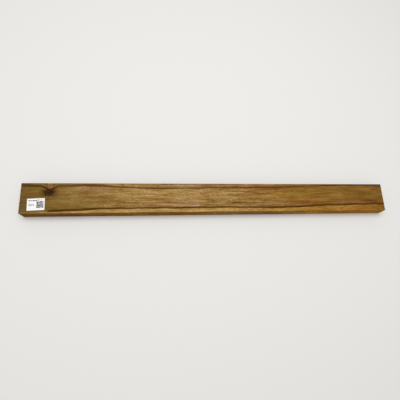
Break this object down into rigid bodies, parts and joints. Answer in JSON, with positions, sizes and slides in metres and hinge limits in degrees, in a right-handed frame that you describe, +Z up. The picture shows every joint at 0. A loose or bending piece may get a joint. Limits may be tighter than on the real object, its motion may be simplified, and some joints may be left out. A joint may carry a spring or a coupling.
{
  "type": "timber lumber plank",
  "caption": "Sawn hardwood plank with eased long edges, square cut ends, a knot with an open bark pocket and a plain paper stock label on its top face.",
  "frame": {"origin": "bottom centre of the plank, on the surface that it lies on", "axes": "+X along the grain towards the end away from the label, +Y across the width towards the edge with the knot, +Z up through the thickness"},
  "size_m": [1.524, 0.125, 0.0448],
  "materials": {
    "timber": "sawn",
    "label_paper": "matte"
  },
  "bodies": {
    "root": {"timber_plank": "timber", "stock_label": "label_paper"}
  },
  "joints": []
}
